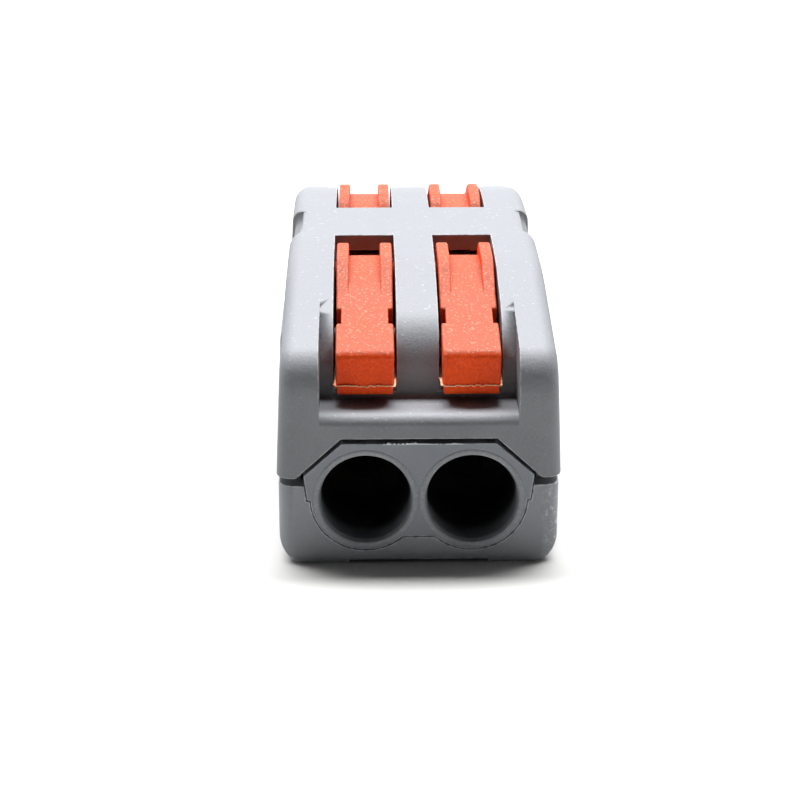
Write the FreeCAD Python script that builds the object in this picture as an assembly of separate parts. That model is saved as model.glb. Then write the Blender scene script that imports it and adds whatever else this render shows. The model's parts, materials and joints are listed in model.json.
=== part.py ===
# Lever wire connector: two poles in one housing, each pole joining a wire at the front to a wire at
# the rear. Every wire has its own lever, clamp spring and entry, so the two ends are alike.
# Millimetres. X runs across the poles, Y from the front entries to the rear ones, Z upwards.
# The origin is the centre of the underside.

import math
import os

import FreeCAD
import Part

# Housing
overall_length = 41.0
overall_width = 17.0
cover_top = 15.72
base_top = 5.02
seam_gap = 0.48
shell_setback = 0.1
side_lean = 0.45
edge_radius = 0.95
pole_spacing = 6.35

# Cover's side outline, from the front face: the knuckle where the face starts to lean back, the
# shoulder where it turns over, the crown, and the band where the slightly domed top is level
knuckle_height = 11.2
knuckle_radius = 4.0
shoulder_inset = 0.5
shoulder_height = 13.0
shoulder_radius = 2.2
crown_inset = 10.9
crown_drop = 0.2
crown_radius = 20.0
level_half_length = 4.4
level_radius = 60.0

# Recess in each end of the cover, under the lever tips
cheek_thickness = 2.6
ledge_height = 9.45
ledge_edge_radius = 0.7
recess_depth = 3.3
recess_lip_inset = 6.95
recess_lip_height = 14.55
recess_slope = 0.325
recess_radius = 3.6
recess_foot_radius = 0.25

# Waist between the two humps of the cover
waist_depth = 0.65
waist_edge_radius = 1.0
waist_half_length_inside = 2.2
waist_half_length_outside = 3.5

# Raised blank pad on the left side of the cover
pad_start = 4.9
pad_length = 8.4
pad_bottom = 11.2
pad_height = 1.8
pad_thickness = 0.1
pad_corner_radius = 0.5

# Windows for the levers
band_half_length = 3.45
window_side_gap = 0.165
window_floor = 9.83
band_skin = 1.07

# Levers
lever_width = 3.47
pivot_from_middle = 6.35
pivot_height = 13.6
hub_radius = 2.3
trunnion_radius = 1.1
trunnion_reach = 0.85
running_clearance = 0.05
hub_clearance = 0.2
cam_base_radius = 1.5
cam_lobe_offset = 1.9
cam_lobe_radius = 1.1
cam_lobe_dip = 5.0
rail_width = 0.75
web_radius = 1.5
rail_foot = 8.2
rail_head = 11.2
rail_foot_radius = 2.5
rail_head_radius = 1.5
back_crest = 11.0
tip_inset = 1.9
tip_top = 12.7
tip_top_radius = 0.5
tip_bottom = 10.0
tip_bottom_radius = 0.3
tip_rake = 0.15
lever_belly = 12.6
belly_start = 6.0
chin_length = 1.7
belly_radius = 0.8
notch_start = 5.15
notch_length = 1.6
notch_depth = 0.3

# Bearings for the levers in the cover's walls, open downwards for assembly
bearing_end_gap = 0.1
bearing_neck = 1.8
bearing_lead_in = 2.5
bearing_lip = 0.35

# Wire guides: one block at each end, holding both wire entries
bore_radius = 2.71
bore_height = 4.15
mouth_radius = 0.38
collar_wall = 0.59
guide_face_inset = 0.08
guide_length = 7.8
guide_top = 7.7
guide_top_half_width = 4.6
guide_shoulder = 5.65
guide_shoulder_margin = 0.4
guide_foot = 4.05
guide_foot_margin = 0.2
guide_ridge = 1.7
funnel_start = 5.6
funnel_length = 1.7
conductor_radius = 1.6
guide_fit = 0.04
guide_key_start = 3.8
guide_key_length = 1.0
guide_key_height = 0.55
guide_key_half_width = 3.6
throat_gap = 0.3
throat_side_gap = 0.45
throat_top_margin = 0.03

# Base
base_floor = 1.2
base_wall = 1.35
base_edge_radius = 1.65
base_corner_radius = 1.0
underside_recess = 0.18
underside_half_width = 4.2
pole_barrier = 1.0
barrier_gap = 0.1
tongue_thickness = 0.5
tongue_height = 1.85
tongue_setback = 1.2
tongue_fit = 0.05
middle_rib = 1.2
rib_margin = 0.3

# Busbars and clamp springs
busbar_width = 2.6
busbar_thickness = 1.0
busbar_bottom = 5.6
busbar_end_overlap = 0.5
busbar_pocket_fit = 0.05
busbar_seat_gap = 0.02
groove_count = 3
groove_pitch = 0.5
groove_depth = 0.12
strip_thickness = 0.4
strip_width = 3.0
spring_top = 11.95
spring_seat_gap = 0.02
loop_from_middle = 0.2
leg_gap = 0.5
leg_width = 4.0
leg_window_width = 2.9
leg_bend_radius = 0.6
leg_bar_height = 0.9
leg_rest_gap = 0.1
leg_window_top = 10.7
split_from_pivot = 2.6
split_gap = 0.05
seat_arm_past_pivot = 1.4
chamber_half_width = 2.25
chamber_roof = 12.35

# Worked out from the sizes above
front = -overall_length / 2
half_width = overall_width / 2
cover_bottom = base_top + seam_gap
cover_half_top = half_width - side_lean
recess_half_width = half_width - cheek_thickness
window_half_width = lever_width / 2 + window_side_gap
collar_radius = bore_radius + collar_wall
pole_places = (-pole_spacing / 2, pole_spacing / 2)
pivot_y = -pivot_from_middle
guide_back = front + guide_length
leg_front = guide_back + leg_gap
leg_back = leg_front + strip_thickness
beyond = 2.0
touch = 1e-4


def point(x, y, z):
    return FreeCAD.Vector(x, y, z)


def on_side(a, b):
    return point(0, a, b)


def on_front(a, b):
    return point(a, 0, b)


def on_plan(a, b):
    return point(a, b, 0)


def box(x_span, y_span, z_span):
    size = [span[1] - span[0] for span in (x_span, y_span, z_span)]
    return Part.makeBox(*size, point(x_span[0], y_span[0], z_span[0]))


def across(radius, x_span, y, z):
    return Part.makeCylinder(radius, x_span[1] - x_span[0], point(x_span[0], y, z), point(1, 0, 0))


def along(radius, x, y_span, z):
    return Part.makeCylinder(radius, y_span[1] - y_span[0], point(x, y_span[0], z), point(0, 1, 0))


def outline(corners, place):
    # A closed face from corners (a, b, radius), each rounded to its radius
    turns = []
    for index, (a, b, radius) in enumerate(corners):
        here = point(a, b, 0)
        before = point(*corners[index - 1][:2], 0)
        after = point(*corners[(index + 1) % len(corners)][:2], 0)
        back = (before - here).normalize()
        ahead = (after - here).normalize()
        half = back.getAngle(ahead) / 2
        reach = radius / math.tan(half)
        centre = here + (back + ahead).normalize() * (radius / math.sin(half))
        if radius == 0:
            turns.append((here, here, here))
        else:
            middle = centre + (here - centre).normalize() * radius
            turns.append((here + back * reach, middle, here + ahead * reach))
    edges = []
    for index, (start, middle, end) in enumerate(turns):
        following = turns[(index + 1) % len(turns)][0]
        if start != end:
            edges.append(Part.Arc(*[place(p.x, p.y) for p in (start, middle, end)]).toShape())
        if (following - end).Length > touch:
            edges.append(Part.LineSegment(place(end.x, end.y), place(following.x, following.y)).toShape())
    return Part.Face(Part.Wire(edges))


def side_prism(corners, x_span):
    face = outline(corners, on_side)
    face.translate(point(x_span[0], 0, 0))
    return face.extrude(point(x_span[1] - x_span[0], 0, 0))


def front_prism(corners, y_span):
    face = outline(corners, on_front)
    face.translate(point(0, y_span[0], 0))
    return face.extrude(point(0, y_span[1] - y_span[0], 0))


def plan_prism(corners, z_span):
    face = outline(corners, on_plan)
    face.translate(point(0, 0, z_span[0]))
    return face.extrude(point(0, 0, z_span[1] - z_span[0]))


def turned(shape):
    # The same shape at the other end of the connector
    copy = shape.copy()
    copy.rotate(point(0, 0, 0), point(0, 0, 1), 180)
    return copy


def both_ends(shapes):
    return shapes + [turned(shape) for shape in shapes]


def mirrored_corners(half):
    # Corners of one half, then the same ones mirrored, so that the outline closes
    return half + [(-a, b, radius) for a, b, radius in reversed(half)]


def around(x, half):
    return (x - half, x + half)


def cover_blank():
    half = [
        (front, cover_bottom, 0),
        (front, knuckle_height, knuckle_radius),
        (front + shoulder_inset, shoulder_height, shoulder_radius),
        (front + crown_inset, cover_top - crown_drop, crown_radius),
        (-level_half_length, cover_top, level_radius),
    ]
    blank = side_prism(mirrored_corners(half), (-half_width, half_width))
    lean = [
        (half_width, cover_bottom, 0),
        (half_width + beyond, cover_bottom, 0),
        (half_width + beyond, cover_top + beyond, 0),
        (cover_half_top - side_lean * beyond / (cover_top - cover_bottom), cover_top + beyond, 0),
    ]
    wedge = front_prism(lean, (front - beyond, -front + beyond))
    blank = blank.cut([wedge, turned(wedge)])
    rims = []
    for edge in blank.Edges:
        centre = edge.CenterOfMass
        if abs(centre.x) > cover_half_top - touch and centre.z > cover_bottom + touch:
            rims.append(edge)
    return blank.makeFillet(edge_radius, rims)


def recess_cut():
    # Space in front of the lever tips, from the ledge up
    far = recess_lip_inset + beyond
    bend_height = recess_lip_height - (recess_lip_inset - recess_depth) * recess_slope
    corners = [
        (front - beyond, ledge_height, 0),
        (front + recess_depth, ledge_height, recess_foot_radius),
        (front + recess_depth, bend_height, recess_radius),
        (front + far, recess_lip_height + beyond * recess_slope, 0),
        (front + far, cover_top + beyond, 0),
        (front - beyond, cover_top + beyond, 0),
    ]
    return side_prism(corners, (-recess_half_width, recess_half_width))


def waist_cut():
    # One side's scoop: the band's rounded section swept between two slanted ends
    outside = half_width + beyond
    waist = half_width - waist_depth
    inside = waist - waist_edge_radius
    section = [
        (inside, cover_top + beyond, 0),
        (inside, cover_top, 0),
        (waist, cover_top, waist_edge_radius),
        (waist, cover_bottom - beyond, 0),
        (outside, cover_bottom - beyond, 0),
        (outside, cover_top + beyond, 0),
    ]
    slope = (waist_half_length_outside - waist_half_length_inside) / (half_width - inside)
    far = waist_half_length_outside + slope * beyond
    ends = [
        (inside, -waist_half_length_inside, 0),
        (outside, -far, 0),
        (outside, far, 0),
        (inside, waist_half_length_inside, 0),
    ]
    plan = plan_prism(ends, (cover_bottom - beyond, cover_top + beyond))
    return front_prism(section, (-far, far)).common(plan)


def guide_throat():
    # The cover's opening for a wire guide, which it clears all round
    margin = collar_radius + guide_shoulder_margin + throat_side_gap
    bottom_half = pole_spacing / 2 + margin
    top_half = guide_top_half_width + throat_top_margin
    corners = [
        (bottom_half, cover_bottom - beyond, 0),
        (bottom_half, cover_bottom, 0),
        (top_half, guide_top + throat_gap, 0),
    ]
    return front_prism(mirrored_corners(corners), (front - beyond, guide_back + guide_fit))


def cover_end_cuts():
    # Everything that one end of the cover is cut by, for both poles
    cuts = [recess_cut(), guide_throat()]
    key_top = guide_top + guide_key_height + guide_fit
    key_y = (front + guide_key_start - guide_fit, front + guide_key_start + guide_key_length + guide_fit)
    cuts.append(box(around(0, guide_key_half_width + guide_fit), key_y, (guide_top, key_top)))
    for x in pole_places:
        window = around(x, window_half_width)
        cuts.append(box(window, (front - beyond, -band_half_length), (window_floor, cover_top + beyond)))
        cuts.append(across(hub_radius + hub_clearance, window, pivot_y, pivot_height))
        cuts.append(box(window, (-band_half_length, 0), (cover_bottom, cover_top - band_skin)))
        chamber = around(x, chamber_half_width)
        cuts.append(box(chamber, (guide_back, 0), (cover_bottom - beyond, chamber_roof)))
        ends = around(x, lever_width / 2 + trunnion_reach + bearing_end_gap)
        cuts.append(across(trunnion_radius + running_clearance, ends, pivot_y, pivot_height))
        neck = around(pivot_y, bearing_neck / 2)
        lip_bottom = pivot_height - trunnion_radius - bearing_lip
        cuts.append(box(ends, neck, (cover_bottom - beyond, pivot_height)))
        cuts.append(box(ends, around(pivot_y, bearing_lead_in / 2), (cover_bottom - beyond, lip_bottom)))
    return cuts


def tongue_spans(grow):
    outer = half_width - shell_setback - base_wall + tongue_thickness
    inner = half_width - shell_setback - base_wall
    reach = -front - tongue_setback + grow
    spans = []
    for x_span in ((inner - grow, outer + grow), (-outer - grow, -inner + grow)):
        spans.append((x_span, (-reach, reach)))
    return spans


def blank_pad():
    # A plain raised panel on the leaning left side, with no lettering
    start = front + pad_start
    corners = [
        (start, pad_bottom, pad_corner_radius),
        (start + pad_length, pad_bottom, pad_corner_radius),
        (start + pad_length, pad_bottom + pad_height, pad_corner_radius),
        (start, pad_bottom + pad_height, pad_corner_radius),
    ]
    lean = side_lean / (cover_top - cover_bottom)
    wall = half_width - lean * (pad_bottom - cover_bottom)
    panel = side_prism(corners, (-wall - pad_thickness, -wall + edge_radius))
    skin = [
        (-half_width - pad_thickness, cover_bottom, 0),
        (-cover_half_top - pad_thickness, cover_top, 0),
        (-cover_half_top + edge_radius, cover_top, 0),
        (-half_width + edge_radius, cover_bottom, 0),
    ]
    return panel.common(front_prism(skin, (front, -front)))


def make_top_cover():
    cover = cover_blank()
    waist = waist_cut()
    cuts = both_ends(cover_end_cuts()) + [waist, turned(waist)]
    for x_span, y_span in tongue_spans(tongue_fit):
        cuts.append(box(x_span, y_span, (cover_bottom - beyond, base_top + tongue_height)))
    cover = cover.cut(cuts)
    rims = []
    for edge in cover.Edges:
        span = edge.BoundBox
        at_ledge = abs(span.ZMin - ledge_height) < touch and span.ZLength < touch
        at_face = abs(abs(span.YMin) + front) < touch and span.YLength < touch
        if at_ledge and at_face:
            rims.append(edge)
    cover = cover.makeFillet(ledge_edge_radius, rims)
    return cover.fuse(blank_pad()).removeSplitter()


def guide_section(grow):
    # A wire guide's section: a chamfered head over two round collars and the web between them
    shoulder_half = pole_spacing / 2 + collar_radius + guide_shoulder_margin + grow
    foot_half = pole_spacing / 2 + collar_radius + guide_foot_margin + grow
    head = [
        (foot_half, guide_foot - grow, 0),
        (shoulder_half, guide_shoulder, 0),
        (guide_top_half_width, guide_top + grow, 0),
    ]
    y_span = (front + guide_face_inset - grow, guide_back + grow)
    parts = [front_prism(mirrored_corners(head), y_span)]
    for x in pole_places:
        parts.append(along(collar_radius + grow, x, y_span, bore_height))
    parts.append(box(around(0, pole_spacing / 2), y_span, (guide_ridge - grow, guide_foot)))
    return parts[0].fuse(parts[1:])


def wire_path(x):
    # The straight entry for the insulation, the funnel, and the way in for the bare conductor
    mouth = front - beyond
    funnel_y = front + funnel_start
    neck_y = funnel_y + funnel_length
    entry = along(bore_radius, x, (mouth, funnel_y), bore_height)
    funnel = Part.makeCone(
        bore_radius, conductor_radius, funnel_length, point(x, funnel_y, bore_height), point(0, 1, 0)
    )
    neck = along(conductor_radius, x, (neck_y, guide_back + beyond), bore_height)
    return entry.fuse([funnel, neck])


def make_wire_guide():
    guide = guide_section(0)
    key_y = (front + guide_key_start, front + guide_key_start + guide_key_length)
    key_z = (guide_top - guide_key_height, guide_top + guide_key_height)
    key = box(around(0, guide_key_half_width), key_y, key_z)
    guide = guide.fuse(key).removeSplitter()
    pocket_z = (busbar_bottom - busbar_pocket_fit, busbar_bottom + busbar_thickness + busbar_pocket_fit)
    pocket_y = (guide_back - busbar_end_overlap - busbar_pocket_fit, guide_back + beyond)
    for x in pole_places:
        pocket = box(around(x, busbar_width / 2 + busbar_pocket_fit), pocket_y, pocket_z)
        guide = guide.cut([wire_path(x), pocket])
    mouths = []
    for edge in guide.Edges:
        at_face = abs(edge.BoundBox.YMax - front - guide_face_inset) < touch
        if at_face and hasattr(edge.Curve, "Radius") and abs(edge.Curve.Radius - bore_radius) < touch:
            mouths.append(edge)
    return guide.makeFillet(mouth_radius, mouths)


def make_base_shell():
    side = half_width - shell_setback
    section = [
        (side, base_top, 0),
        (side, 0, base_edge_radius),
    ]
    plan = [
        (side, front + shell_setback, base_corner_radius),
        (side, -front - shell_setback, base_corner_radius),
    ]
    shell = front_prism(mirrored_corners(section), (front, -front))
    shell = shell.common(plan_prism(mirrored_corners(plan), (0, base_top)))
    inner = side - base_wall
    room_y = (guide_back + guide_fit, -guide_back - guide_fit)
    shell = shell.cut(box(around(0, inner), room_y, (base_floor, base_top + beyond)))
    barrier_top = cover_bottom - barrier_gap
    ribs = [box(around(0, pole_barrier / 2), room_y, (base_floor, barrier_top))]
    rib_top = busbar_bottom - busbar_seat_gap
    for x in pole_places:
        rib_width = around(x, busbar_width / 2 + rib_margin)
        ribs.append(box(rib_width, around(0, middle_rib / 2), (base_floor, rib_top)))
    for x_span, y_span in tongue_spans(0):
        ribs.append(box(x_span, y_span, (base_floor, base_top + tongue_height - tongue_fit)))
    shell = shell.fuse(ribs)
    seat = guide_section(guide_fit)
    whole_length = (front - beyond, -front + beyond)
    underside = box(around(0, underside_half_width), whole_length, (-beyond, underside_recess))
    return shell.cut([seat, turned(seat), underside]).removeSplitter()


def back_height(inset):
    # The lever's back rises in a straight line from its tip to the web's level at the crest
    rise = (pivot_height + web_radius - tip_top) / (back_crest - tip_inset)
    return tip_top + rise * (inset - tip_inset)


def lever_side_corners():
    tip = front + tip_inset
    return [
        (tip + tip_rake, tip_bottom, tip_bottom_radius),
        (tip, tip_top, tip_top_radius),
        (front + rail_foot, back_height(rail_foot), rail_foot_radius),
        (front + rail_head, pivot_height + hub_radius, rail_head_radius),
        (pivot_y, pivot_height + hub_radius, 0),
        (pivot_y, pivot_height - cam_base_radius, 0),
        (pivot_y - cam_base_radius, lever_belly, 0),
        (front + belly_start, lever_belly, belly_radius),
        (tip + tip_rake + chin_length, tip_bottom, belly_radius),
    ]


def lever_web_cut(x):
    # The channel between the rails: it follows the lever's back, then runs round the hub
    web = pivot_height + web_radius
    far = pivot_y + cam_lobe_offset + cam_lobe_radius + beyond
    start = rail_foot - beyond
    corners = [
        (front + start, back_height(start), 0),
        (front + back_crest, web, 0),
        (far, web, 0),
        (far, cover_top + beyond, 0),
        (front + start, cover_top + beyond, 0),
    ]
    half = lever_width / 2 - rail_width
    above = side_prism(corners, around(x, half))
    behind = box(around(x, half), (pivot_y, far), (pivot_height - far + pivot_y, web))
    behind = behind.cut(across(web_radius, around(x, half), pivot_y, pivot_height))
    return above.fuse(behind)


def make_lever(x):
    width = around(x, lever_width / 2)
    lever = side_prism(lever_side_corners(), width)
    hub_top = across(hub_radius, width, pivot_y, pivot_height)
    below = (pivot_height - 2 * hub_radius, pivot_height)
    hub_top = hub_top.cut(box(width, around(pivot_y, 2 * hub_radius), below))
    dip = math.radians(cam_lobe_dip)
    lobe = across(
        cam_lobe_radius,
        width,
        pivot_y + cam_lobe_offset * math.cos(dip),
        pivot_height - cam_lobe_offset * math.sin(dip),
    )
    base_circle = across(cam_base_radius, width, pivot_y, pivot_height)
    lever = lever.fuse([hub_top, lobe, base_circle])
    cuts = [lever_web_cut(x)]
    notch_y = (front + notch_start, front + notch_start + notch_length)
    for side in (-1, 1):
        wall = x + side * (lever_width / 2 - notch_depth)
        outside = wall + side * beyond
        cuts.append(box(sorted((wall, outside)), notch_y, (0, cover_top)))
    lever = lever.cut(cuts)
    trunnions = across(trunnion_radius, around(x, lever_width / 2 + trunnion_reach), pivot_y, pivot_height)
    return lever.fuse(trunnions).removeSplitter()


def both_ends_of_bar(shapes, x):
    # turned() also swaps the poles, so the far end's copies are moved back to this pole
    far = []
    for shape in shapes:
        copy = turned(shape)
        copy.translate(point(2 * x, 0, 0))
        far.append(copy)
    return shapes + far


def make_busbar(x):
    end = guide_back - busbar_end_overlap
    bar = box(around(x, busbar_width / 2), (end, -end), (busbar_bottom, busbar_bottom + busbar_thickness))
    grooves = []
    for index in range(groove_count):
        y = (leg_front + leg_back) / 2 + (index - (groove_count - 1) / 2) * groove_pitch
        grooves.append(across(groove_depth, around(x, busbar_width), y, busbar_bottom))
    return bar.cut(both_ends_of_bar(grooves, x))


def make_clamp_spring(x):
    # The spring's seat on the busbar, its loop, and the arm up to where the moving end begins
    seat = busbar_bottom + busbar_thickness + spring_seat_gap
    radius = (spring_top - seat) / 2
    centre_y = -loop_from_middle - radius
    centre_z = seat + radius
    width = around(x, strip_width / 2)
    loop = across(radius, width, centre_y, centre_z)
    loop = loop.cut(across(radius - strip_thickness, around(x, strip_width), centre_y, centre_z))
    front_half = (centre_y - radius - beyond, centre_y)
    loop = loop.cut(box(around(x, strip_width), front_half, (seat - beyond, spring_top + beyond)))
    seat_end = pivot_y - seat_arm_past_pivot
    seat_arm = box(width, (seat_end, centre_y), (seat, seat + strip_thickness))
    arm_end = pivot_y - split_from_pivot + split_gap
    arm = box(width, (arm_end, centre_y), (spring_top - strip_thickness, spring_top))
    return loop.fuse([seat_arm, arm]).removeSplitter()


def make_clamp_leg(x):
    # The spring's moving end: the outer arm bends down into a leg whose window goes round the busbar
    bar_top = busbar_bottom - leg_rest_gap
    leg_bottom = bar_top - leg_bar_height
    arm_end = pivot_y - split_from_pivot
    inner = spring_top - strip_thickness
    corners = [
        (leg_front, leg_bottom, 0),
        (leg_front, spring_top, leg_bend_radius + strip_thickness),
        (arm_end, spring_top, 0),
        (arm_end, inner, 0),
        (leg_back, inner, leg_bend_radius),
        (leg_back, leg_bottom, 0),
    ]
    strip = side_prism(corners, around(x, leg_width / 2))
    through = (leg_front - beyond, leg_back + strip_thickness)
    cuts = [box(around(x, leg_window_width / 2), through, (bar_top, leg_window_top))]
    for side in (-1, 1):
        wall = x + side * strip_width / 2
        outside = x + side * leg_width
        arm_y = (leg_back + leg_bend_radius, arm_end + beyond)
        cuts.append(box(sorted((wall, outside)), arm_y, (inner - beyond, cover_top)))
    return strip.cut(cuts)


def make_all():
    guide = make_wire_guide()
    parts = {
        "top_cover": make_top_cover(),
        "base_shell": make_base_shell(),
        "front_wire_guide": guide,
        "rear_wire_guide": turned(guide),
    }
    for side, x in zip(("left", "right"), pole_places):
        parts[side + "_busbar"] = make_busbar(x)
        makers = (("lever", make_lever), ("clamp_spring", make_clamp_spring), ("clamp_leg", make_clamp_leg))
        for kind, maker in makers:
            parts["front_" + side + "_" + kind] = maker(x)
            parts["rear_" + side + "_" + kind] = turned(maker(-x))
    return parts


os.makedirs("parts", exist_ok=True)
for name, shape in make_all().items():
    shape.exportStep("parts/" + name + ".step")
    print(name, "valid", shape.isValid(), "solids", len(shape.Solids), "volume", round(shape.Volume, 2))
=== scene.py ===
import json
import math

import bmesh
import bpy
from mathutils import Matrix, Vector, noise


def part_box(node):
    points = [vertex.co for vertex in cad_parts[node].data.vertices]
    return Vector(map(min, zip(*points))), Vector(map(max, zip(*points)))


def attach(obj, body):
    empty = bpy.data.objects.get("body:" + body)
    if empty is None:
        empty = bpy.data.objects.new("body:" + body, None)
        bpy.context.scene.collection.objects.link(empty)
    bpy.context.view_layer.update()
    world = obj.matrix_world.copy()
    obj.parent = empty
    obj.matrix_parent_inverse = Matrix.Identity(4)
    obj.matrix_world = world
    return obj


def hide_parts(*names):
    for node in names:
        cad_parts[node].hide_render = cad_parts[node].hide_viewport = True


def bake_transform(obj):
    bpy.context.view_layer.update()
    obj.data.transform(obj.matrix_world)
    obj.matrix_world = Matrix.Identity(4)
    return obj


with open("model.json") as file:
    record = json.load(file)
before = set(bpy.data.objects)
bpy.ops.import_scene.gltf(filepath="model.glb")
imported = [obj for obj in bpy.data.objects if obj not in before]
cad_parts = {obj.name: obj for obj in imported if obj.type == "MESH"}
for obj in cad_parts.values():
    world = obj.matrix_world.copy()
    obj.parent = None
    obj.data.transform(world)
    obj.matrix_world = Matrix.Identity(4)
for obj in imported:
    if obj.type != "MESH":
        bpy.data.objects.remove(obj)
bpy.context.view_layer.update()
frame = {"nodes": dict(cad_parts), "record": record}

mm = 0.001
ends = {"front": -1, "rear": 1}
sides = ("left", "right")
places = [(end, side) for end in ends for side in sides]  # each has one lever and one clamp spring


# shader maths: a Wire is one output socket, and an expression on wires adds Math nodes
class Wire:
    def __init__(self, finish, socket):
        self.finish = finish
        self.socket = socket

    def maths(self, operation, first, second):
        values = {0: first, 1: second}
        return self.finish.add("ShaderNodeMath", {"operation": operation}, values)

    def __add__(self, other):
        return self.maths("ADD", self, other)

    def __radd__(self, other):
        return self.maths("ADD", other, self)

    def __sub__(self, other):
        return self.maths("SUBTRACT", self, other)

    def __rsub__(self, other):
        return self.maths("SUBTRACT", other, self)

    def __mul__(self, other):
        return self.maths("MULTIPLY", self, other)

    def __rmul__(self, other):
        return self.maths("MULTIPLY", other, self)

    def __truediv__(self, other):
        return self.maths("DIVIDE", self, other)


class Finish:
    # a node tree being filled: a material's, or the world's
    def __init__(self, owner):
        self.owner = owner
        owner.use_nodes = True
        self.tree = owner.node_tree

    def add(self, kind, settings=None, values=None, out=0):
        node = self.tree.nodes.new(kind)
        for name, value in (settings or {}).items():
            setattr(node, name, value)
        for name, value in (values or {}).items():
            self.feed(node.inputs[name], value)
        return Wire(self, node.outputs[out])

    def feed(self, socket, value):
        if isinstance(value, Wire):
            self.tree.links.new(value.socket, socket)
        else:
            socket.default_value = value

    def place(self):
        return self.add("ShaderNodeTexCoord", out="Object")

    def part(self, vector, axis):
        return self.add("ShaderNodeSeparateXYZ", {}, {"Vector": vector}, axis)

    def upwards(self, low, high):
        # 1 on faces that look up, 0 on walls and undersides
        normal = self.add("ShaderNodeTexCoord", out="Normal")
        return self.between(self.part(normal, "Z"), low, high)

    def magnitude(self, value):
        return self.add("ShaderNodeMath", {"operation": "ABSOLUTE"}, {0: value})

    def cloud(self, place, size, detail=2, roughness=0.5):
        # noise whose blotches are about size across
        values = {"Vector": place, "Scale": 1 / size, "Detail": detail, "Roughness": roughness}
        return self.add("ShaderNodeTexNoise", {}, values, "Fac")

    def between(self, value, low, high):
        # 0 below low and 1 above high, smoothly
        settings = {"interpolation_type": "SMOOTHSTEP"}
        return self.add("ShaderNodeMapRange", settings, {"Value": value, "From Min": low, "From Max": high})

    def blend(self, factor, first, second):
        values = {"Factor": factor, 6: first, 7: second}
        return self.add("ShaderNodeMix", {"data_type": "RGBA"}, values, 2)

    def bump(self, height, depth):
        return self.add("ShaderNodeBump", {}, {"Height": height, "Distance": depth, "Strength": 1.0})

    def dress(self, **values):
        # sockets of the shader by name, with _ for a space
        shader = self.tree.nodes["Principled BSDF"]
        for name, value in values.items():
            self.feed(shader.inputs[name.replace("_", " ")], value)
        return self.owner


def shade(red, green, blue):
    return (red, green, blue, 1)


def newFinish(name):
    return Finish(bpy.data.materials.new(name))


# where each pattern of the moulded plastic starts and is full, then how strong or how large the rest is
plasticPattern = {
    "mottle": (0.38, 0.62), "faceUp": (0.25, 0.85), "pits": (0.38, 0.6), "wearAndHighlight": (0.32, 0.58),
    "grit": (0.5, 0.66), "speckEdge": 0.06, "specksAndGlintsOnWalls": 0.25, "coarse": 3.2, "flowGloss": 0.1,
    "fineRelief": 0.65,
}


def mouldedPlastic(name, look):
    # grained thermoplastic: flow marks, a mottled spark grain, pale specks partly painted as glints, edge
    # wear with a painted edge highlight, and painted light that gives faces looking up a tone of their own
    pattern = plasticPattern
    finish = newFinish(name)
    place = finish.place()
    flow = finish.cloud(place, look["flowSize"], detail=3)
    fine = finish.cloud(place, look["grainSize"], detail=3, roughness=0.6)
    coarse = finish.cloud(place, pattern["coarse"] * look["grainSize"])
    mottle = flow * (1 - look["mottle"]) + fine * look["mottle"]
    mottle = finish.between(mottle, *pattern["mottle"])
    tone = finish.blend(mottle, shade(*look["deep"]), shade(*look["light"]))
    # painted light: faces that look up blend to a tone of their own, standing in for how the light from above
    # falls on them, broken by dark pits of the grain
    top = finish.upwards(*pattern["faceUp"])
    grain = 1 - look["pitting"] + finish.between(fine, *pattern["pits"]) * look["pitting"]
    tone = finish.blend(top * grain * look["paintedTopAmount"], tone, shade(*look["paintedTopTone"]))
    # pale specks: partly flecks in the plastic, partly painted glints, so they gather on faces that look up
    specksAndGlints = finish.cloud(place, look["speckSize"], detail=1.5)
    specksAndGlints = finish.between(specksAndGlints, look["speckFrom"], look["speckFrom"] + pattern["speckEdge"])
    specksAndGlints = specksAndGlints * (pattern["specksAndGlintsOnWalls"] + top * (1 - pattern["specksAndGlintsOnWalls"]))
    tone = finish.blend(specksAndGlints * look["speckAndGlintAmount"], tone, shade(*look["pale"]))
    # the rolled edges go pale: partly wear, partly a painted highlight along the edges
    edge = finish.add("ShaderNodeAttribute", {"attribute_name": "edgeWearAndHighlight"}, out="Fac")
    wornAndHighlit = edge * finish.between(coarse, *pattern["wearAndHighlight"]) * look["edgeWearAndHighlight"]
    if "scuffFrom" in look:
        # rubbed pale where the front right corner has been knocked about
        near = finish.between(finish.part(place, "X"), *look["scuffFrom"])
        near = near * (1 - finish.between(finish.part(place, "Y"), *look["scuffTo"]))
        grit = finish.cloud(place, look["scuffSize"], detail=4, roughness=0.7)
        wornAndHighlit = wornAndHighlit + near * finish.between(grit, *pattern["grit"]) * look["scuffing"]
    tone = finish.blend(wornAndHighlit, tone, shade(*look["pale"]))
    if "boreShadeDepth" in look:
        # painted shade: the bores go dark within a few millimetres of the face
        fromFace = look["face"] - finish.magnitude(finish.part(place, "Y"))
        tone = finish.blend(finish.between(fromFace, *look["boreShadeDepth"]), tone, shade(*look["boreShadeTone"]))
    gloss = look["roughness"] + (fine - 0.5) * look["roughnessSpread"] + (flow - 0.5) * pattern["flowGloss"]
    relief = fine * pattern["fineRelief"] + coarse * (1 - pattern["fineRelief"])
    return finish.dress(
        Base_Color=tone,
        Roughness=gloss,
        Normal=finish.bump(relief, look["grainDepth"]),
        IOR=look["ior"],
    )


# in each look the top tone and its amount are painted light for faces that look up, and the pale specks on
# those faces are partly painted glints
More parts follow.
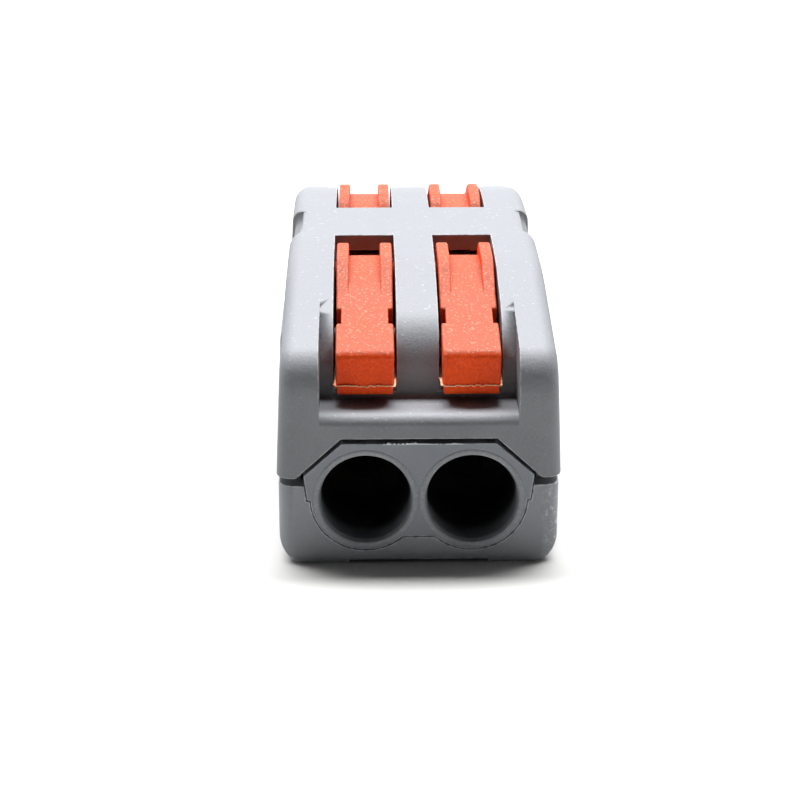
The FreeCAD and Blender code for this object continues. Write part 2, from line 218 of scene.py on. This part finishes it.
coverLook = {
    "deep": (0.15, 0.157, 0.168), "light": (0.18, 0.188, 0.199), "pale": (0.6, 0.61, 0.63),
    "flowSize": 5 * mm, "grainSize": 0.13 * mm, "mottle": 0.45, "speckSize": 0.3 * mm, "speckFrom": 0.67,
    "speckAndGlintAmount": 0.2, "paintedTopTone": (0.225, 0.229, 0.243), "paintedTopAmount": 0.9, "pitting": 0.3, "edgeWearAndHighlight": 0.3,
    "roughness": 0.56, "roughnessSpread": 0.3, "grainDepth": 0.03 * mm, "ior": 1.42,
}
baseLook = dict(
    coverLook, deep=(0.215, 0.225, 0.242), light=(0.245, 0.255, 0.27), edgeWearAndHighlight=0.6,
    scuffFrom=(7.1 * mm, 8.3 * mm), scuffTo=(-20.0 * mm, -17.6 * mm), scuffSize=0.36 * mm, scuffing=0.8,
)
# the guide's bore walls carry painted shade a little way in from the face
guideLook = dict(
    coverLook, deep=(0.18, 0.193, 0.215), light=(0.21, 0.223, 0.246), speckAndGlintAmount=0.1, edgeWearAndHighlight=0.4,
    face=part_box("rear_wire_guide")[1].y, boreShadeDepth=(0.35 * mm, 2.6 * mm), boreShadeTone=(0.012, 0.012, 0.013),
)
leverLook = {
    "deep": (0.7, 0.05, 0.002), "light": (0.84, 0.074, 0.004), "pale": (0.85, 0.32, 0.22),
    "flowSize": 2.4 * mm, "grainSize": 0.15 * mm, "mottle": 0.6, "speckSize": 0.17 * mm, "speckFrom": 0.6,
    "speckAndGlintAmount": 0.36, "paintedTopTone": (0.28, 0.07, 0.034), "paintedTopAmount": 0.97, "pitting": 0.4, "edgeWearAndHighlight": 0.1,
    "roughness": 0.55, "roughnessSpread": 0.35, "grainDepth": 0.045 * mm, "ior": 1.27,
}
burrLook = dict(leverLook, deep=(0.9, 0.36, 0.16), light=(0.95, 0.6, 0.4), paintedTopAmount=0.0, grainDepth=0.006 * mm)
collarLook = dict(
    coverLook, deep=(0.2, 0.21, 0.226), light=(0.235, 0.244, 0.258), pale=(0.42, 0.43, 0.45),
    speckSize=0.2 * mm, speckFrom=0.58, speckAndGlintAmount=0.8, paintedTopTone=(0.32, 0.33, 0.345),
)
greyBurrLook = dict(coverLook, deep=(0.42, 0.43, 0.44), light=(0.62, 0.63, 0.64), grainDepth=0.006 * mm)


def brushedStrip(name, look):
    # rolled metal: streaks along the strip and tarnish in patches
    finish = newFinish(name)
    place = finish.place()
    stretch = finish.add("ShaderNodeMapping", {}, {"Vector": place, "Scale": look["stretch"]})
    streaks = finish.cloud(stretch, look["streakSize"], detail=4, roughness=0.65)
    patches = finish.between(finish.cloud(place, look["patchSize"], detail=3), *look["patchRange"])
    streaky = finish.between(streaks, *look["streakRange"])
    tone = finish.blend(streaky, shade(*look["deep"]), shade(*look["light"]))
    tone = finish.blend(patches * look["tarnish"], tone, shade(*look["stain"]))
    gloss = look["roughness"] + (streaks - 0.5) * look["streakGloss"] + patches * look["patchGloss"]
    return finish.dress(
        Base_Color=tone,
        Roughness=gloss,
        Metallic=1.0,
        Normal=finish.bump(streaks, look["grooves"]),
    )


steelLook = {
    "deep": (0.46, 0.46, 0.47), "light": (0.66, 0.66, 0.67), "stain": (0.4, 0.37, 0.33), "tarnish": 0.25,
    "stretch": (6.0, 1.0, 1.0), "streakSize": 0.5 * mm, "streakRange": (0.3, 0.7), "streakGloss": 0.22,
    "patchSize": 2.2 * mm, "patchRange": (0.42, 0.68), "patchGloss": 0.12, "roughness": 0.3,
    "grooves": 0.004 * mm,
}
copperLook = dict(
    steelLook, deep=(0.72, 0.33, 0.19), light=(0.9, 0.5, 0.34), stain=(0.42, 0.2, 0.12), tarnish=0.45
)
finishes = {
    "cover": mouldedPlastic("coverPolyamide", coverLook),
    "base": mouldedPlastic("basePolyamide", baseLook),
    "guide": mouldedPlastic("guidePolyamide", guideLook),
    "collar": mouldedPlastic("collarPolyamide", collarLook),
    "lever": mouldedPlastic("leverPolyamide", leverLook),
    "leverBurr": mouldedPlastic("leverBurr", burrLook),
    "greyBurr": mouldedPlastic("greyBurr", greyBurrLook),
    "steel": brushedStrip("springSteel", steelLook),
    "copper": brushedStrip("busbarCopper", copperLook),
}
print("finishes made:", len(finishes))


# every shape is in millimetres until finishedObject, and the angles here are in degrees
meshRules = {"weld": 0.0005, "flatWithin": 0.3, "smoothTo": 32, "roundOver": 28}


def finishedObject(name, shape, finish, smoothTo=meshRules["smoothTo"]):
    bmesh.ops.scale(shape, vec=(mm, mm, mm), verts=shape.verts)
    mesh = bpy.data.meshes.new(name)
    shape.to_mesh(mesh)
    shape.free()
    mesh.materials.clear()
    mesh.materials.append(finishes[finish])
    mesh.shade_smooth()
    mesh.set_sharp_from_angle(angle=math.radians(smoothTo))
    piece = bpy.data.objects.new(name, mesh)
    bpy.context.scene.collection.objects.link(piece)
    return piece


def keepFlatsFlat(piece):
    # large flat faces hold their own shading where they meet small rounded ones
    weighted = piece.modifiers.new("weightedNormals", "WEIGHTED_NORMAL")
    weighted.mode = "FACE_AREA"
    weighted.weight = 50
    weighted.keep_sharp = True


def mergedCopy(node):
    # the CAD node's loose triangles as one skin with flat faces whole, in millimetres
    shape = bmesh.new()
    shape.from_mesh(frame["nodes"][node].data)
    bmesh.ops.scale(shape, vec=(1 / mm, 1 / mm, 1 / mm), verts=shape.verts)
    bmesh.ops.remove_doubles(shape, verts=shape.verts, dist=meshRules["weld"])
    bmesh.ops.dissolve_limit(
        shape, angle_limit=math.radians(meshRules["flatWithin"]), use_dissolve_boundaries=False,
        verts=shape.verts, edges=shape.edges,
    )
    return shape


def roundEdges(shape, radius, steps, least=meshRules["roundOver"], chosen=lambda edge: True):
    # rolls the sharp edges that the chooser takes, and marks their faces for pale edge wear and a painted
    # edge highlight
    wearAndHighlight = shape.faces.layers.float.get("edgeWearAndHighlight") or shape.faces.layers.float.new("edgeWearAndHighlight")
    sharp = []
    for edge in shape.edges:
        if len(edge.link_faces) != 2 or not chosen(edge):
            continue
        if math.degrees(edge.calc_face_angle(0)) > least:
            sharp.append(edge)
    rolled = bmesh.ops.bevel(
        shape, geom=sharp, offset=radius, offset_type="OFFSET", segments=steps, profile=0.5,
        affect="EDGES", clamp_overlap=False, material=-1,
    )
    for face in rolled["faces"]:
        face[wearAndHighlight] = 1.0
    return shape


def convex(edge):
    return edge.is_convex


shellLook = {"radius": 0.07, "steps": 2}


def softenedShell(node, piece, finish):
    shape = mergedCopy(node)
    roundEdges(shape, shellLook["radius"], shellLook["steps"], chosen=convex)
    shell = finishedObject(piece, shape, finish)
    keepFlatsFlat(shell)
    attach(shell, "housing")
    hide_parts(node)


softenedShell("top_cover", "topCover", "cover")
softenedShell("base_shell", "baseShell", "base")
for end in ends:
    softenedShell(end + "_wire_guide", end + "WireGuide", "guide")
for side in sides:
    softenedShell(side + "_busbar", side + "Busbar", "copper")
print("housing shells made")


leverShape = {
    "trunnionReach": 0.85, "edgeRadius": 0.13, "edgeSteps": 3, "partingHeight": 10.62, "partingStep": 0.03,
    "chinInset": 0.05, "chinSetback": 0.04,
}


def narrowChin(shape, middle):
    # below the mould's parting line the tip is a little narrower all round
    line = leverShape["partingHeight"]
    step = leverShape["partingStep"]
    for height in (line + step, line - step):
        everything = list(shape.verts) + list(shape.edges) + list(shape.faces)
        bmesh.ops.bisect_plane(shape, geom=everything, plane_co=(0, 0, height), plane_no=(0, 0, 1))
    below = [corner for corner in shape.verts if corner.co.z < line]
    half = max(abs(corner.co.x - middle.x) for corner in below)
    for corner in below:
        corner.co.x += (middle.x - corner.co.x) * leverShape["chinInset"] / half
        corner.co.y += math.copysign(leverShape["chinSetback"], -corner.co.y)


def makeLever(end, side):
    node = end + "_" + side + "_lever"
    low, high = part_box(node)
    shape = mergedCopy(node)
    roundEdges(shape, leverShape["edgeRadius"], leverShape["edgeSteps"], chosen=convex)
    narrowChin(shape, (low + high) / (2 * mm))
    lever = finishedObject(end + side.capitalize() + "Lever", shape, "lever")
    keepFlatsFlat(lever)
    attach(lever, node)
    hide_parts(node)


for end, side in places:
    makeLever(end, side)
print("levers made")


# mould flash: thin ragged fins that stand out along a route, wider where the noise is high
finPattern = {"slowSeed": 7.3, "raggedCurl": 1.2, "curlLevel": 1.1, "smoothTo": 60}


def raggedFin(name, route, look, finish, body):
    shape = bmesh.new()
    bmesh.ops.create_grid(shape, x_segments=look["steps"], y_segments=2, size=0.5)
    for corner in shape.verts:
        along = corner.co.x + 0.5
        out = corner.co.y + 0.5
        point, outwards = route(along)
        ragged = noise.noise(Vector((along * look["teeth"], look["seed"], 0))) * 0.5 + 0.5
        slowSeed = look["seed"] + finPattern["slowSeed"]
        slow = noise.noise(Vector((along * look["waves"], slowSeed, 0))) * 0.5 + 0.5
        fade = min(1.0, along * look["taper"], (1 - along) * look["taper"])
        reach = look["least"] + (look["reach"] - look["least"]) * ragged * slow * 2 * fade
        curl = look["curl"] * (slow + ragged * finPattern["raggedCurl"] - finPattern["curlLevel"]) * out
        corner.co = point + outwards * (out * reach - look["rooted"]) + Vector((0, 0, curl))
    bmesh.ops.recalc_face_normals(shape, faces=shape.faces)
    bmesh.ops.solidify(shape, geom=list(shape.faces), thickness=look["thickness"])
    bmesh.ops.recalc_face_normals(shape, faces=shape.faces)
    fin = finishedObject(name, shape, finish, finPattern["smoothTo"])
    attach(fin, body)


tipFlash = {
    "steps": 160, "teeth": 34.0, "waves": 7.0, "seed": 1.0, "seedStep": 3.7, "taper": 9.0, "least": 0.05,
    "reach": 0.3, "curl": 0.22, "rooted": 0.05, "thickness": 0.055, "backLength": 2.1, "turnLength": 0.26,
    "rake": 0.115,
}


def tipRoute(end, side):
    # round the tip at the parting line: up one side, across the front and back along the other
    low, high = [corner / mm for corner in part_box(end + "_" + side + "_lever")]
    hand = ends[end]
    middle = (low.x + high.x) / 2
    half = (high.x - low.x) / 2 - leverShape["trunnionReach"]
    tip = (low.y if hand < 0 else high.y) - hand * tipFlash["rake"]
    back = tipFlash["backLength"]
    total = 2 * (back + half)

    def route(along):
        run = along * total
        if run < back:
            place, outwards = (-half, back - run), (-1, 0)
        elif run < back + 2 * half:
            place, outwards = (run - back - half, 0), (0, 1)
        else:
            place, outwards = (half, run - back - 2 * half), (1, 0)
        across, inset = place
        toCorner = half - abs(across) if outwards[0] == 0 else inset
        if toCorner < tipFlash["turnLength"]:
            lean = 0.5 * (1 - toCorner / tipFlash["turnLength"])
            outwards = (outwards[0] + lean * math.copysign(1, across) * outwards[1],
                        outwards[1] + lean * abs(outwards[0]))
        point = Vector((middle + across, tip - hand * inset, leverShape["partingHeight"]))
        return point, Vector((outwards[0], hand * outwards[1], 0)).normalized()

    return route


for number, (end, side) in enumerate(places):
    look = dict(tipFlash, seed=tipFlash["seed"] + tipFlash["seedStep"] * number)
    raggedFin(end + side.capitalize() + "TipFlash", tipRoute(end, side), look, "leverBurr",
              end + "_" + side + "_lever")


guideFlash = {
    "steps": 120, "teeth": 40.0, "waves": 6.0, "seed": 31.0, "taper": 8.0, "least": 0.02, "reach": 0.14,
    "curl": 0.1, "rooted": 0.04, "thickness": 0.03, "startAcross": -2.4, "endAcross": 2.6, "keyHeight": 0.55,
    "sunk": 0.02, "forwards": 0.25,
}


def guideRoute(end):
    # along the block's top front edge, leaning forwards and up
    low, high = [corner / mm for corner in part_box(end + "_wire_guide")]
    hand = ends[end]
    face = low.y if hand < 0 else high.y
    top = high.z - guideFlash["keyHeight"]

    def route(along):
        across = guideFlash["startAcross"] + along * (guideFlash["endAcross"] - guideFlash["startAcross"])
        point = Vector((-hand * across, face, top - guideFlash["sunk"]))
        return point, Vector((0, hand * guideFlash["forwards"], 1)).normalized()

    return route


for end in ends:
    look = dict(guideFlash, seed=guideFlash["seed"] + ends[end])
    raggedFin(end + "GuideFlash", guideRoute(end), look, "greyBurr", "housing")
print("mould flash made")


collarShape = {"radius": 2.98, "width": 0.34, "rise": 0.055, "sides": 16, "turns": 96, "weld": 0.001}


def makeCollars(end):
    # a low rounded lip round each bore of the guide
    hand = ends[end]
    shape = bmesh.new()
    for mount in frame["record"]["mounts"]:
        if not mount["name"].startswith(end) or mount["kind"] != "bore":
            continue
        across, _, up = [place / mm for place in mount["pos_m"]]
        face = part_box(end + "_wire_guide")[0 if hand < 0 else 1].y / mm
        section = bmesh.ops.create_circle(shape, segments=collarShape["sides"], radius=0.5)["verts"]
        bmesh.ops.scale(shape, vec=(collarShape["width"], 2 * collarShape["rise"], 1), verts=section)
        bmesh.ops.translate(shape, vec=(across + collarShape["radius"], face, up), verts=section)
        around = {edge for corner in section for edge in corner.link_edges}
        bmesh.ops.spin(
            shape, geom=list(around), cent=(across, face, up), axis=(0, 1, 0), angle=math.tau,
            steps=collarShape["turns"], use_merge=True,
        )
    bmesh.ops.remove_doubles(shape, verts=shape.verts, dist=collarShape["weld"])
    bmesh.ops.recalc_face_normals(shape, faces=shape.faces)
    collars = finishedObject(end + "BoreCollars", shape, "collar")
    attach(collars, "housing")


for end in ends:
    makeCollars(end)
print("bore collars made")


springShape = {
    "seatEnd": 7.75, "armEnd": 8.96, "thickness": 0.4, "edgeRadius": 0.05, "edgeSteps": 2, "roundOver": 60,
    "straightSteps": 14, "loopSteps": 30, "bendTilt": 30, "bendStart": 10.4, "bendEnd": 14.45,
}


def makeSpring(end, side):
    # one strip: seat on the busbar, loop by the middle, and the arm that the lever's cam presses
    node = end + "_" + side + "_clamp_spring"
    low, high = [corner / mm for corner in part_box(node)]
    hand = ends[end]
    thick = springShape["thickness"]
    outer = (high.z - low.z) / 2
    innerEnd = high.y if hand < 0 else low.y
    centre = Vector((0, innerEnd + hand * outer, low.z + outer))
    shape = bmesh.new()
    seat = hand * springShape["seatEnd"]
    corners = [(x, seat, z) for x, z in
               ((low.x, low.z), (high.x, low.z), (high.x, low.z + thick), (low.x, low.z + thick))]
    ring = [shape.verts.new(corner) for corner in corners]
    loop = [shape.edges.new((ring[i], ring[i - 1])) for i in range(4)]

    def extend(loop, steps, move):
        for step in range(steps):
            grown = bmesh.ops.extrude_edge_only(shape, edges=loop)["geom"]
            move([part for part in grown if isinstance(part, bmesh.types.BMVert)])
            loop = [part for part in grown if isinstance(part, bmesh.types.BMEdge)]
            loop = [edge for edge in loop if len(edge.link_faces) == 1]
        return loop

    steps = springShape["straightSteps"]
    seatStep = Vector((0, (centre.y - seat) / steps, 0))
    loop = extend(loop, steps, lambda corners: bmesh.ops.translate(shape, verts=corners, vec=seatStep))
    turn = Matrix.Rotation(-hand * math.pi / springShape["loopSteps"], 3, "X")
    loop = extend(loop, springShape["loopSteps"],
                  lambda corners: bmesh.ops.rotate(shape, verts=corners, cent=centre, matrix=turn))
    armStep = Vector((0, (hand * springShape["armEnd"] - centre.y) / steps, 0))
    extend(loop, steps, lambda corners: bmesh.ops.translate(shape, verts=corners, vec=armStep))
    bmesh.ops.holes_fill(shape, edges=[edge for edge in shape.edges if len(edge.link_faces) == 1])
    bmesh.ops.recalc_face_normals(shape, faces=shape.faces)
    roundEdges(shape, springShape["edgeRadius"], springShape["edgeSteps"], springShape["roundOver"])
    spring = finishedObject(end + side.capitalize() + "ClampSpring", shape, "steel")
    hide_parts(node)
    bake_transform(spring)


def makeLeg(end, side):
    node = end + "_" + side + "_clamp_leg"
    shape = mergedCopy(node)
    roundEdges(shape, springShape["edgeRadius"], springShape["edgeSteps"], springShape["roundOver"], convex)
    leg = finishedObject(end + side.capitalize() + "ClampLeg", shape, "steel")
    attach(leg, end + "_" + side + "_clamp")
    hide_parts(node)


for end, side in places:
    makeSpring(end, side)
    makeLeg(end, side)
print("clamp springs made")


# studio: a white floor that runs out of view, one wide soft light above and behind, a darker room in front
floorLook = {
    "halfSize": 2.0, "tone": (0.52, 0.512, 0.497), "fibreLift": 1.03, "fibreSize": 1.5 * mm, "roughness": 0.7,
}
skyLook = {
    "key": 31.0, "tilt": 21, "halfAcross": 34, "halfAlong": 9.5, "softness": 0.12, "horizon": 0.02,
    "front": 0.045, "back": 1.3, "backRange": (-0.25, 0.75), "backdrop": 1.1, "fillTint": (0.97, 0.985, 1.0),
}


def makeFloor():
    shape = bmesh.new()
    bmesh.ops.create_grid(shape, x_segments=8, y_segments=8, size=floorLook["halfSize"])  # in metres
    mesh = bpy.data.meshes.new("studioFloor")
    shape.to_mesh(mesh)
    shape.free()
    finish = newFinish("paperFloor")
    fibre = finish.cloud(finish.place(), floorLook["fibreSize"], detail=3)
    lifted = [part * floorLook["fibreLift"] for part in floorLook["tone"]]
    tone = finish.blend(fibre, shade(*floorLook["tone"]), shade(*lifted))
    mesh.materials.append(finish.dress(Base_Color=tone, Roughness=floorLook["roughness"]))
    floor = bpy.data.objects.new("studioFloor", mesh)
    bpy.context.scene.collection.objects.link(floor)


def makeSky():
    finish = Finish(bpy.data.worlds.new("studioSky"))
    bpy.context.scene.world = finish.owner
    direction = finish.add("ShaderNodeTexCoord", out="Generated")
    across, along, up = [finish.part(direction, axis) for axis in "XYZ"]
    height = finish.add("ShaderNodeMath", {"operation": "MAXIMUM"}, {0: up, 1: skyLook["horizon"]})
    offAcross = finish.magnitude(across / height)
    offAlong = finish.magnitude(along / height - math.tan(math.radians(skyLook["tilt"])))
    panel = 1.0
    for off, half in ((offAcross, skyLook["halfAcross"]), (offAlong, skyLook["halfAlong"])):
        reach = math.tan(math.radians(half))
        soft = skyLook["softness"]
        panel = (1 - finish.between(off, reach * (1 - soft), reach * (1 + soft))) * panel
    back = finish.between(along, *skyLook["backRange"])
    fill = skyLook["front"] + back * (skyLook["back"] - skyLook["front"])
    # behind the object the camera sees plain white, whatever the light is there
    seen = finish.add("ShaderNodeLightPath", out="Is Camera Ray")
    light = (fill + panel * skyLook["key"]) * (1 - seen) + seen * skyLook["backdrop"]
    background = finish.tree.nodes["Background"]
    finish.feed(background.inputs["Color"], shade(*skyLook["fillTint"]))
    finish.feed(background.inputs["Strength"], light)


makeFloor()
makeSky()


# place in millimetres, turns in degrees
cameraLook = {
    "x": -3.13, "y": -132.5, "z": 52.0, "down": 20.336, "right": 1.02, "lens": 91.845, "sensor": 36.0,
    "near": 0.01, "far": 20,
}


def makeCamera():
    camera = bpy.data.cameras.new("studioCamera")
    camera.lens = cameraLook["lens"]
    camera.sensor_width = cameraLook["sensor"]
    camera.clip_start = cameraLook["near"]
    camera.clip_end = cameraLook["far"]
    holder = bpy.data.objects.new("studioCamera", camera)
    holder.location = [cameraLook[axis] * mm for axis in "xyz"]
    turn = (90 - cameraLook["down"], 0, -cameraLook["right"])
    holder.rotation_euler = [math.radians(angle) for angle in turn]
    bpy.context.scene.collection.objects.link(holder)
    bpy.context.scene.camera = holder


makeCamera()
bpy.context.scene.view_settings.view_transform = "Standard"
print("studio made")
